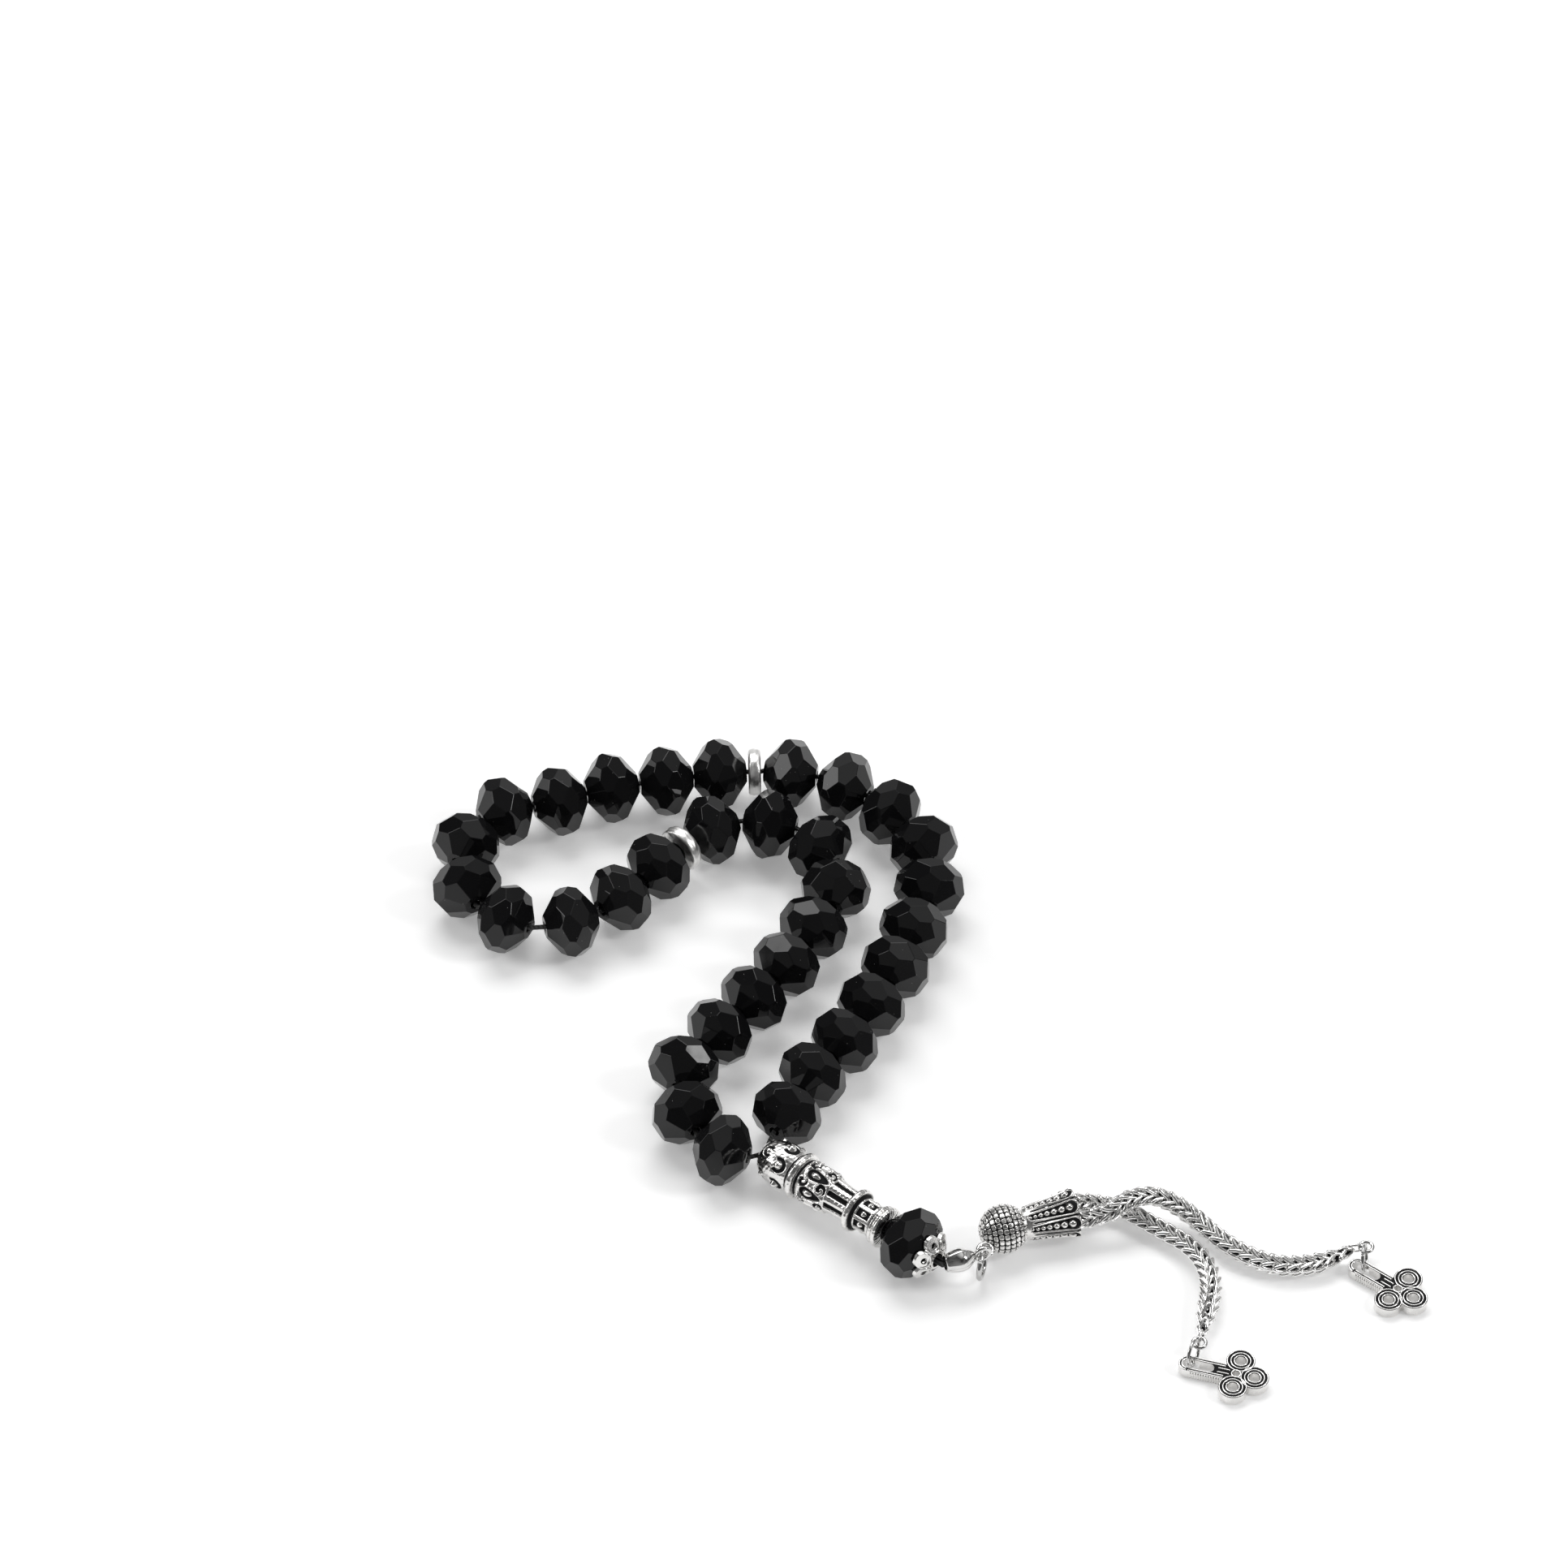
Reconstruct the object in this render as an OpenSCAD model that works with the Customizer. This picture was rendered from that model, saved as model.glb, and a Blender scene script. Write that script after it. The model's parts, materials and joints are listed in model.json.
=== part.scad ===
// Misbaha: a closed string of 33 cut glass beads in three elevens, parted by
// two metal rings, with a cast leader bead, a neck bead and a metal tassel of
// two plaited chains that each end in a small openwork charm.
// It lies flat on a table: Z = 0 is the table, +Z is up, and the origin is
// under the middle of the string and its fittings.

/* [Glass beads] */
// Largest diameter of a bead, corner to corner
bead_d = 10.4; // [9.6:0.1:10.4]
// Length of a bead along its hole
bead_l = 7.8; // [7.4:0.1:8]
// Diameter of the flat round the hole, corner to corner
table_d = 3.4; // [3:0.1:3.8]
// Slope of the facets beside the girdle, in degrees
girdle_tilt = 18; // [16:1:20]
// Slope of the facets beside the flat, in degrees
shoulder_tilt = 54; // [52:1:56]
// Diameter of the hole in a string bead
bead_hole_d = 1.5; // [1.4:0.1:1.6]
// Diameter of the hole in the neck bead, which takes the cord twice
neck_hole_d = 2.1; // [2:0.1:2.4]
// Free play between two beads that lie in line
bead_gap = 0.1; // [0.1:0.02:0.2]

/* [Cord] */
// Diameter of the cord
cord_d = 0.7; // [0.6:0.05:0.7]
// Distance between the two runs of cord in the leader and neck beads
cord_pair = 0.78; // [0.74:0.02:0.86]

/* [Divider rings] */
// Outer diameter of a divider ring
spacer_d = 7; // [6.4:0.1:7.2]
// Thickness of a divider ring
spacer_t = 1.8; // [1.4:0.1:1.8]

/* [Leader bead] */
// Length of the leader bead
leader_l = 22.6; // [22.4:0.1:22.8]
// Diameter of the leader bead's hole
leader_hole_d = 2.2; // [2:0.1:2.6]
// Number of flutes round its shaft
leader_flutes = 8; // [6:1:10]

/* [Bead cap and bead tip] */
// Number of petals on the bead cap
petals = 6; // [5:1:7]
// Diameter of the hole in each petal
petal_hole_d = 1; // [0.8:0.1:1.1]
// Thickness of the cap's metal
cap_wall = 0.45; // [0.4:0.05:0.5]
// Largest diameter of the bead tip's two cups
tip_d = 3.4; // [3.2:0.1:3.6]

/* [Jump rings] */
// Mean diameter of the ring that joins the tassel
link_ring_d = 4.2; // [4.1:0.1:4.3]
// Wire diameter of that ring
link_wire_d = 0.8; // [0.6:0.1:0.8]
// Mean diameter of a charm's ring
end_ring_d = 3.6; // [3.5:0.1:3.7]
// Wire diameter of a charm's ring
end_wire_d = 0.5; // [0.4:0.1:0.5]

/* [Tassel] */
// Diameter of the tassel cap's ball
ball_d = 7.1; // [6.9:0.1:7.2]
// Length of the cap from the ball's centre to the mouth
cap_l = 10.4; // [10.2:0.1:10.8]
// Outer diameter of the mouth
mouth_d = 7.2; // [7.1:0.1:7.4]
// Number of panels round the cone
cap_panels = 8; // [6:1:10]
// Diameter of a plaited chain
chain_d = 3.4; // [3:0.1:3.4]

/* [Charms] */
// Thickness of a charm
charm_t = 1.5; // [1.3:0.1:1.6]
// Width of the charm's stem
stem_w = 2.7; // [2.6:0.1:2.9]
// Width of the slot in the stem
slot_w = 1.5; // [1.4:0.1:1.6]

/* [Hidden] */
function numbered(name, count) = [for (i = [1:count]) str(name, "_", i < 10 ? "0" : "", i)];
$fn = 48;

glass_colour = "#141414";
silver_colour = "#c8c6c0";
cord_colour = "#1b1b1b";

// --- The string: where each bead lies ---

string_h = bead_d / 2;

// The middle of the string as it lies. The first bead sits on the second point.
string_route = [
    [3.6, -27], [-3.6, -28.7], [-8.8, -21.5], [-9, -12.5], [-4, -6], [1, 0.5], [5.5, 7], [9.5, 14.5],
    [12.5, 22], [10.5, 29.5], [3.5, 34.5], [-5.5, 33.5], [-12, 27.5], [-17.5, 21], [-24.5, 15.5],
    [-33.5, 15], [-40.5, 21], [-41.5, 30], [-36.5, 37], [-29, 39], [-20.5, 42], [-12, 43.5],
    [-3.5, 45], [6, 45], [14.5, 42], [21, 36.5], [25.5, 29.5], [26, 21], [23.5, 13],
    [20.5, 5], [17, -2], [13, -9], [8.5, -15.5], [5, -22.5], [2.5, -27]];

// A smooth curve through points, cut into short steps
function curve_at(p0, p1, p2, p3, t) = 0.5 * (2 * p1 + (p2 - p0) * t
    + (2 * p0 - 5 * p1 + 4 * p2 - p3) * t * t
    + (3 * p1 - p0 - 3 * p2 + p3) * t * t * t);
function smooth(points, steps) = let (last = len(points) - 1) concat(
    [for (i = [0:last - 1], s = [0:steps - 1])
        curve_at(points[max(i - 1, 0)], points[i], points[i + 1], points[min(i + 2, last)], s / steps)],
    [points[last]]);
function unit(v) = v / norm(v);
function heading(points, i) = unit(points[min(i + 1, len(points) - 1)] - points[max(i - 1, 0)]);
function direction(angle) = [cos(angle), sin(angle)];
function lift(p, z) = [p[0], p[1], z];

string_steps = 100;
string_curve = smooth(string_route, string_steps);

// What is threaded on the cord, in order: [is it a bead, half its length, radius of its end face]
beads_in_group = 11;
bead_item = [true, bead_l / 2, table_d / 2];
spacer_item = [false, spacer_t / 2, spacer_d / 2 - 0.5];
function group() = [for (i = [1:beads_in_group]) bead_item];
string_items = concat(group(), [spacer_item], group(), [spacer_item], group());

// The cord shows where the string has been pulled apart a little
pulled_after = 14;
pulled_gap = 0.7;

// How far a piece reaches along the line to its neighbour, when it is turned from it
function reach(item, turn) = item[1] * cos(turn) + item[2] * sin(turn);
function spacing(n, from, to) = let (
    turn = acos(min(1, heading(string_curve, from) * heading(string_curve, to))) / 2)
    reach(string_items[n], turn) + reach(string_items[n + 1], turn) + bead_gap
    + (n == pulled_after ? pulled_gap : 0);
function next_place(n, from, to) =
    n == len(string_items) - 1 || to >= len(string_curve) - 1
    || norm(string_curve[to] - string_curve[from]) >= spacing(n, from, to)
    ? to : next_place(n, from, to + 1);
places = [for (n = 0, at = string_steps; n < len(string_items);
    at = next_place(n, at, at + 1), n = n + 1) at];
function item_pos(n) = lift(string_curve[places[n]], string_h);
function item_dir(n) = lift(heading(string_curve, places[n]), 0);
function item_angle(n) = let (d = item_dir(n)) atan2(d[1], d[0]);
// The item that holds bead number i, past the spacers
function bead_item_of(i) = i - 1 + floor((i - 1) / beads_in_group);

// Each bead lies on a different facet
roll_step = 137.5;

// --- The doubled run: leader bead, neck bead, bead cap and bead tip ---

run_angle = -41;
leader_start = [2.4, -28.4, 4];
leader_rise = 2.3;
leader_dir = [cos(leader_rise) * cos(run_angle), cos(leader_rise) * sin(run_angle), sin(leader_rise)];
leader_end = leader_start + leader_l * leader_dir;
neck_gap = 0.35;
neck_dir = lift(direction(run_angle), 0);
neck_pos = lift([leader_end[0], leader_end[1]], string_h) + (neck_gap + bead_l / 2) * neck_dir;
run_side = [-sin(run_angle), cos(run_angle), 0] * cord_pair / 2;

// The cap sits on the neck bead's end
cap_play = 0.12;
hub_len = 0.3;
cap_face = bead_l / 2 + cap_play;
hub_end = cap_face + cap_wall + hub_len;
cap_hole_d = neck_hole_d;

// The bead tip turns off towards the tassel
tip_angle = 20;
tip_shell_l = 4.4;
tip_wall = 0.3;
tip_mouth_r = 1.15;
tip_neck_r = 0.5;
tip_start = neck_pos + (hub_end + 1.15) * neck_dir + [0.2, 0.2, -0.1];
tip_dir = lift(direction(tip_angle), 0);
knot_pos = tip_start + 2.5 * tip_dir;
knot_r = 1;
loop_r = 1.05;
loop_wire_r = 0.35;
loop_bite = 0.3;
tip_loop_at = tip_shell_l + loop_r + loop_wire_r - loop_bite;
tip_loop_pos = tip_start + tip_loop_at * tip_dir;

// --- The link ring hangs from the bead tip and holds the tassel cap's eye ---

link_angle = 76;
link_dir = lift(direction(link_angle), 0);
link_pos = tip_loop_pos - [0, 0, link_ring_d / 2];
axis_h = mouth_d / 2 + 0.05;
eye_up = axis_h - link_pos[2];
eye_out = sqrt(pow(link_ring_d / 2, 2) - pow(eye_up, 2));
eye_pos = link_pos + eye_out * link_dir + [0, 0, eye_up];
eye_angle = 56;
eye_reach = 4.6;
ball_pos = eye_pos + eye_reach * lift(direction(eye_angle), 0);
cap_angle = 17;
cap_dir = lift(direction(cap_angle), 0);
function in_cap(along, aside) = ball_pos + along * cap_dir + aside * lift(direction(cap_angle + 90), 0);

// --- The chains: the middle of each as it lies on the table ---

chain_1_route = [
    in_cap(7, -1), in_cap(8.9, -1.25), in_cap(10.8, -1.65), in_cap(12.8, -1.75) + [0, 0, 0.3],
    [50.4, -39.6, 4.4], [52.8, -38.2, 5.2], [55.2, -37.4, 5.3], [57.6, -37.2, 4.7], [60, -37.7, 3.5],
    [62.4, -39, 2.3], [64.6, -41.2, 1.8], [67, -43.6, 1.8], [70.2, -45.8, 1.8], [74, -47.2, 1.8],
    [78, -47, 1.8], [81, -45.9, 1.8], [84.1, -44.2, 2]];
chain_2_route = [
    in_cap(7, 1), in_cap(8.9, 1.25), in_cap(10.8, 1.65), in_cap(12.8, 1.7) - [0, 0, 0.5],
    [49.6, -36.3, 2.1], [52, -36.8, 1.8], [54.4, -38.2, 1.8], [56.8, -40, 1.8], [59, -41.6, 1.8],
    [61.2, -43.4, 1.8], [63, -45.8, 1.8], [64, -49, 1.8], [64, -52.6, 1.8], [63.2, -56.4, 1.8],
    [62.4, -60, 2]];
// A chain is drawn thin where it goes into the cap, and at its last link
chain_root_r = 0.75;
chain_tip_r = 0.9;

// A charm hangs by the upper rail of its slot. Its ring goes under the rail and up through the slot.
rail = (stem_w - slot_w) / 2;
rail_h = 0.85;
hang_1 = [85.7, -46.4];
hang_2 = [61.2, -63.6];
charm_1_angle = -38;
charm_2_angle = -16;
ring_1_angle = -100;
ring_2_angle = -115;
ring_lean = 8;
ring_r = end_ring_d / 2;
ring_h = ring_r * cos(ring_lean) + end_wire_d / 2 + 0.08;
ring_back = 0.35;
ring_shift = tan(ring_lean) * (ring_h - (rail_h + charm_t) / 2);
function ring_pos(hang, angle) = lift(
    hang - ring_back * direction(angle) - ring_shift * direction(angle + 90), ring_h);

// The chain's last link lies flat round the ring's back
end_link_r = 0.9;
end_link_wire_r = 0.28;
link_play = end_link_r - end_link_wire_r - end_wire_d / 2 - 0.1;
function end_link_pos(hang, angle) = ring_pos(hang, angle) - (ring_r + link_play) * lift(direction(angle), 0);

// --- Shapes that repeat ---

// Stand at a point with +X turned by an angle round Z, and raised by a slope
module lay(pos, angle, rise = 0) {
    translate(pos) rotate([0, 0, angle]) rotate([0, -rise, 0]) children();
}

// A shape of revolution about X from [distance along, radius] points
module turned(outline) {
    rotate([90, 0, 90]) rotate_extrude() polygon([for (p = outline) [p[1], p[0]]]);
}

module hoop(mean_r, wire_r) {
    rotate_extrude() translate([mean_r, 0]) circle(wire_r, $fn = 24);
}

// A tube along a path, with one ring of corners at each point
module tube(path, radii, sides = 8) {
    last = len(path) - 1;
    rings = [for (i = [0:last])
        let (d = heading(path, i), side = unit(cross(d, [0, 0, 1])), up = cross(side, d))
        for (k = [0:sides - 1])
            path[i] + radii[i] * (cos(360 * k / sides) * side + sin(360 * k / sides) * up)];
    walls = [for (i = [0:last - 1], k = [0:sides - 1])
        let (k2 = (k + 1) % sides, a = i * sides, b = a + sides)
        [a + k, b + k, b + k2, a + k2]];
    ends = [[for (k = [0:sides - 1]) k], [for (k = [sides - 1:-1:0]) last * sides + k]];
    polyhedron(rings, concat(walls, ends), convexity = 6);
}

// --- A cut glass bead: four staggered rows of eight facets between two flats ---

facets = 8;
facet_step = 360 / facets;
corner = cos(facet_step / 2);
girdle_r = bead_d / 2;
girdle_dist = girdle_r * cos(girdle_tilt) * (1 + corner) / 2;
girdle_x = (girdle_r * cos(girdle_tilt) - girdle_dist) / sin(girdle_tilt);
shoulder_dist = sin(shoulder_tilt) * bead_l / 2 + cos(shoulder_tilt) * corner * table_d / 2;
// The corner where a girdle plane and a shoulder plane meet, each seen along its own width
function facet_corner(girdle_width, shoulder_width) = let (
    a = sin(girdle_tilt), b = cos(girdle_tilt) * girdle_width,
    c = sin(shoulder_tilt), d = cos(shoulder_tilt) * shoulder_width,
    det = a * d - b * c)
    [(girdle_dist * d - b * shoulder_dist) / det, (a * shoulder_dist - girdle_dist * c) / det];
upper_corner = facet_corner(1, corner);
lower_corner = facet_corner(corner, 1);

function on_bead(x, r, angle) = [x, r * cos(angle), r * sin(angle)];
// Half the bead's corners: three rings of eight, and its side of the zigzag
function half_corners(side, start) = [for (k = [0:facets - 1]) let (at = start + k * facet_step) each [
    on_bead(side * bead_l / 2, table_d / 2, at),
    on_bead(side * upper_corner[0], upper_corner[1], at),
    on_bead(side * lower_corner[0], lower_corner[1], at + facet_step / 2),
    on_bead(side * girdle_x, girdle_r, at + facet_step / 2)]];
// The same half's faces, as corner numbers: the flat, the shoulder row and the girdle row
function half_faces(base, other) = concat(
    [[for (k = [facets - 1:-1:0]) base + 4 * k]],
    [for (k = [0:facets - 1]) let (a = base + 4 * k, b = base + 4 * ((k + 1) % facets))
        [a, b, b + 1, a + 2, a + 1]],
    [for (k = [0:facets - 1]) let (a = base + 4 * k, z = base + 4 * ((k + facets - 1) % facets))
        [a + 1, a + 2, a + 3, other(k), z + 3, z + 2]]);
corners_in_half = 4 * facets;

module cut_glass(hole_d) {
    // The far half is the near half turned by half a facet, so its zigzag fills the gaps
    near = half_faces(0, function (k) corners_in_half + 4 * ((k + facets - 1) % facets) + 3);
    far = half_faces(corners_in_half, function (k) 4 * k + 3);
    difference() {
        polyhedron(
            concat(half_corners(1, 0), half_corners(-1, facet_step / 2)),
            concat(near, [for (face = far) [for (i = [len(face) - 1:-1:0]) face[i]]]),
            convexity = 2);
        rotate([0, 90, 0]) cylinder(h = bead_l + 1, d = hole_d, center = true);
    }
}

// --- The sub-parts ---

module string_bead(i) {
    n = bead_item_of(i);
    color(glass_colour) lay(item_pos(n), item_angle(n)) rotate([i * roll_step, 0, 0]) cut_glass(bead_hole_d);
}

module spacer(number) {
    n = number * (beads_in_group + 1) - 1;
    rim = 0.35;
    r = spacer_d / 2;
    half = spacer_t / 2;
    color(silver_colour) lay(item_pos(n), item_angle(n)) turned([
        [-half, bead_hole_d / 2], [-half, r - rim], [-half + rim / 2, r - rim / 4], [0, r],
        [half - rim / 2, r - rim / 4], [half, r - rim], [half, bead_hole_d / 2]]);
}

// The cord runs from the knot through neck and leader, round the string, and back to the knot
module cord() {
    half_bead = bead_l / 2;
    bend = 0.3;
    knot_in = knot_pos - knot_r * 0.6 * tip_dir;
    function doubled(side) = [
        knot_in + side * run_side * 0.6,
        tip_start + 0.7 * tip_dir + side * run_side * 0.9,
        tip_start - 0.15 * neck_dir + side * run_side,
        neck_pos + half_bead * neck_dir + side * run_side,
        neck_pos - half_bead * neck_dir + side * run_side,
        leader_end - bend * leader_dir + side * run_side,
        leader_start + 1.2 * leader_dir + side * run_side,
        leader_start - 0.45 * leader_dir + side * run_side * 1.4];
    outward = doubled(-1);
    homeward = doubled(1);
    threaded = [for (n = [0:len(string_items) - 1], side = [-1, 1])
        item_pos(n) + side * (string_items[n][1] - bend / 4) * item_dir(n)];
    path = concat(outward, threaded, [for (i = [len(homeward) - 1:-1:0]) homeward[i]]);
    color(cord_colour) tube(path, [for (p = path) cord_d / 2]);
}

module cord_knot() {
    color(cord_colour) translate(knot_pos) {
        sphere(knot_r);
        rotate([0, 0, tip_angle]) rotate([60, 0, 0]) hoop(0.65, 0.4);
    }
}

module leader_bead() {
    l = leader_l;
    head_r = 3.4;
    collars = [[6.8, 3], [17, 2.75], [l - 1, 2.8]];
    collar_r = 0.55;
    boss_r = 0.5;
    bosses = 6;
    // The hole opens out where the cord leaves it to either side
    mouth_r = 1.6;
    mouth_depth = 1.2;
    color(silver_colour) lay(leader_start, run_angle, leader_rise) difference() {
        union() {
            turned([
                [0, 0.9], [0, 1.9], [0.5, 2.4], [1.2, 2.85], [2.2, 3.25], [3.4, head_r], [4.8, head_r - 0.1],
                [5.8, 3], [7.8, 2.9], [8.6, 3.1], [9.8, 3.15], [11.4, 2.95], [13, 2.6],
                [14.2, 2.4], [16, 2.3], [17.8, 2.35], [20, 2.3], [21, 2.5], [l, 2.75], [l, 0.9]]);
            for (c = collars) translate([c[0], 0, 0]) rotate([0, 90, 0]) hoop(c[1], collar_r);
            for (k = [0:bosses - 1]) rotate([k * 360 / bosses, 0, 0])
                translate([3.2, 0, head_r - 0.3]) sphere(boss_r, $fn = 24);
        }
        rotate([0, 90, 0]) translate([0, 0, -1]) cylinder(h = l + 2, d = leader_hole_d);
        turned([[-0.1, 0], [-0.1, mouth_r], [mouth_depth, leader_hole_d / 2 - 0.1], [mouth_depth, 0]]);
        for (k = [0:leader_flutes - 1]) rotate([k * 360 / leader_flutes, 0, 0])
            translate([12.6, 0, 2.75]) rotate([0, 90, 0]) cylinder(h = 3.6, r = 0.45, $fn = 24);
    }
}

module neck_bead() {
    color(glass_colour) lay(neck_pos, run_angle) rotate([11, 0, 0]) cut_glass(neck_hole_d);
}

// A pierced flower that hugs the neck bead's end
module bead_cap() {
    rim_r = 3.55;
    rim_x = 3;
    petal_at = 2.35;
    petal_r = 1.3;
    heart_r = 2;
    color(silver_colour) lay(neck_pos, run_angle) difference() {
        union() {
            intersection() {
                turned([
                    [cap_face, 0.5], [cap_face, 1.8], [rim_x, rim_r], [rim_x + 0.28, rim_r + cap_wall * 0.8],
                    [cap_face + cap_wall, 2], [cap_face + cap_wall, 0.5]]);
                rotate([0, 90, 0]) union() {
                    cylinder(h = 8, r = heart_r);
                    for (k = [0:petals - 1]) rotate([0, 0, k * 360 / petals])
                        translate([petal_at, 0, 0]) cylinder(h = 8, r = petal_r);
                }
            }
            rotate([0, 90, 0]) translate([0, 0, cap_face])
                cylinder(h = cap_wall + hub_len, r = cap_hole_d / 2 + 0.3);
        }
        rotate([0, 90, 0]) cylinder(h = 8, d = cap_hole_d);
        for (k = [0:petals - 1]) rotate([k * 360 / petals, 0, 0])
            translate([0, 0, -petal_at - 0.1]) rotate([0, 90, 0]) cylinder(h = 8, d = petal_hole_d);
    }
}

// Two leaf-shaped cups closed over the knot, with a folded loop
module bead_tip() {
    r = tip_d / 2;
    slices = 8;
    seam = 0.06;
    function cup_r(t) = t < 0.5
        ? tip_mouth_r + (r - tip_mouth_r) * sin(180 * t)
        : tip_neck_r + (r - tip_neck_r) * sin(180 * t);
    outside = [for (i = [0:slices]) [tip_shell_l * i / slices, cup_r(i / slices)]];
    inside = [for (i = [slices - 1:-1:0]) [tip_shell_l * i / slices, cup_r(i / slices) - tip_wall]];
    color(silver_colour) lay(tip_start, tip_angle) {
        difference() {
            turned(concat(outside, [[tip_shell_l, 0]], [[tip_shell_l - 0.6, 0]], inside));
            translate([-1, -r - 1, -seam / 2]) cube([tip_shell_l + 0.4, 2 * r + 2, seam]);
            // The rim is cut away where the cord comes in from the side
            rotate([0, 0, 180 + run_angle - tip_angle]) rotate([0, 90, 0])
                cylinder(h = 3, r = cord_d + 0.2);
        }
        translate([tip_loop_at, 0, 0]) rotate([90, 0, 0]) hoop(loop_r, loop_wire_r);
    }
}

module link_ring() {
    color(silver_colour) translate(link_pos) rotate([90, 0, link_angle])
        hoop(link_ring_d / 2, link_wire_d / 2);
}

// A ball with an eye, and a ribbed cone that opens over the chains
module tassel_cap() {
    r = ball_d / 2;
    mouth_r = mouth_d / 2;
    neck_r = 2.4;
    neck_x = 2.7;
    bowl_x = 4;
    lip = 0.4;
    rib_w = 0.35;
    rib_l = cap_l - neck_x - 1;
    color(silver_colour) lay(ball_pos, cap_angle) {
        difference() {
            union() {
                sphere(r);
                turned([[0, 0], [0, neck_r], [neck_x, neck_r], [cap_l - 1, mouth_r - 0.35], [cap_l - 1, 0]]);
                for (k = [0:cap_panels - 1]) rotate([k * 360 / cap_panels, 0, 0])
                    translate([neck_x, -rib_w / 2, 0]) rotate([90, 0, 0]) mirror([0, 0, 1])
                        linear_extrude(rib_w)
                            polygon([[0, 0], [0, neck_r + 0.1], [rib_l, mouth_r - 0.1], [rib_l, 0]]);
                translate([cap_l - 1.4, 0, 0]) rotate([0, 90, 0]) cylinder(h = 1.4, r = mouth_r);
            }
            turned([[bowl_x, 0], [bowl_x, 1.3], [cap_l + 0.1, mouth_r - lip], [cap_l + 0.1, 0]]);
            chain_pin_shape(0);
        }
        rotate([0, 0, 180 + eye_angle - cap_angle]) translate([eye_reach, 0, 0]) hoop(loop_r, loop_wire_r);
    }
}

// The pin goes across the cap's bowl, and the chains' first links hang on it
module chain_pin_shape(trim) {
    pin_x = 6.4;
    translate([pin_x, 0, 0]) cylinder(h = 2 * ball_d - trim, d = 0.7, center = true);
}

module chain_pin() {
    color(silver_colour) lay(ball_pos, cap_angle) chain_pin_shape(2 * ball_d - 5.1);
}

module chain(route) {
    path = smooth(route, 2);
    last = len(path) - 1;
    full_r = chain_d / 2;
    root_steps = 8;
    // Full size a few steps out of the cap, and down to one link at the end
    radii = [for (i = [0:last]) min(
        full_r,
        chain_root_r + (full_r - chain_root_r) * i / root_steps,
        chain_tip_r + (full_r - chain_tip_r) * (last - i) / 2)];
    color(silver_colour) tube(path, radii);
}

module end_ring(hang, angle) {
    color(silver_colour) translate(ring_pos(hang, angle)) rotate([0, 0, angle]) rotate([90 + ring_lean, 0, 0])
        hoop(ring_r, end_wire_d / 2);
}

module end_link(hang, angle) {
    color(silver_colour) translate(end_link_pos(hang, angle)) hoop(end_link_r, end_link_wire_r);
}

// An openwork palmette of three pierced lobes on a slotted stem
module charm(hang, angle) {
    slot_l = 4.4;
    slot_end = slot_w / 2;
    hang_x = 1.2;
    hang_y = slot_end + rail / 2;
    notch_r = 1;
    stem_l = 7;
    lobe_r = 2;
    lobe_hole_r = 0.75;
    head_x = 8;
    lobe_out = 2.4;
    lobes = [[head_x - 0.4, lobe_out], [head_x - 0.4, -lobe_out], [head_x + 2.1, 0]];
    color(silver_colour) translate(lift(hang, 0)) rotate([0, 0, angle]) difference() {
        translate([-hang_x, -hang_y, 0]) linear_extrude(charm_t) difference() {
            union() {
                translate([slot_end, 0]) circle(stem_w / 2);
                translate([slot_end, -stem_w / 2]) square([stem_l - slot_end, stem_w]);
                for (p = lobes) translate(p) circle(lobe_r);
            }
            for (x = [slot_end, slot_l - slot_end]) translate([x, 0]) circle(slot_end);
            translate([slot_end, -slot_end]) square([slot_l - slot_w, slot_w]);
            for (p = lobes) translate(p) circle(lobe_hole_r);
            translate([head_x - 0.5, 0]) circle(0.5);
        }
        // The rail is cut away underneath where the ring passes
        translate([0, 0, -0.1]) cylinder(h = rail_h + 0.1, r = notch_r);
    }
}

for (i = [1:33]) string_bead(i);
for (i = [1:2]) spacer(i);
cord();
cord_knot();
leader_bead();
neck_bead();
bead_cap();
bead_tip();
link_ring();
tassel_cap();
chain_pin();
chain(chain_1_route);  // chain_1
chain(chain_2_route);  // chain_2
end_link(hang_1, ring_1_angle);  // end_link_1
end_link(hang_2, ring_2_angle);  // end_link_2
end_ring(hang_1, ring_1_angle);  // end_ring_1
end_ring(hang_2, ring_2_angle);  // end_ring_2
charm(hang_1, charm_1_angle);  // charm_1
charm(hang_2, charm_2_angle);  // charm_2
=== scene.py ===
import json
import math
import random

import bmesh
import bpy
import numpy as np
from mathutils import Matrix, Vector


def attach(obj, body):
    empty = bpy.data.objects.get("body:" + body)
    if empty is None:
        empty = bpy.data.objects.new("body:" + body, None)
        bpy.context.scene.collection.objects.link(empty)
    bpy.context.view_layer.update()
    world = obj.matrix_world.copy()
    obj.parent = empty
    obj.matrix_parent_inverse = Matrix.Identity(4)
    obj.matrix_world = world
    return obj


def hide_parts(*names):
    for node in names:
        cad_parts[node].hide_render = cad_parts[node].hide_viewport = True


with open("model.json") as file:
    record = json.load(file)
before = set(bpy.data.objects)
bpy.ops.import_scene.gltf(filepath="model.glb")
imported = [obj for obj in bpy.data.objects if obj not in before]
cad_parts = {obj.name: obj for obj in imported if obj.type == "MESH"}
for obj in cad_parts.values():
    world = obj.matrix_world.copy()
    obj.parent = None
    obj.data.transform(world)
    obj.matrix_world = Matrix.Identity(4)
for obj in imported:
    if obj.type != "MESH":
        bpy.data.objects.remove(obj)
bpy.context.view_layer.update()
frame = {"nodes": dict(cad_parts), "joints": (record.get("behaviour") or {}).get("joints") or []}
MM = 0.001
JOINTS = {j["name"]: j for j in frame["joints"]}
NODES = frame["nodes"]

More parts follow.
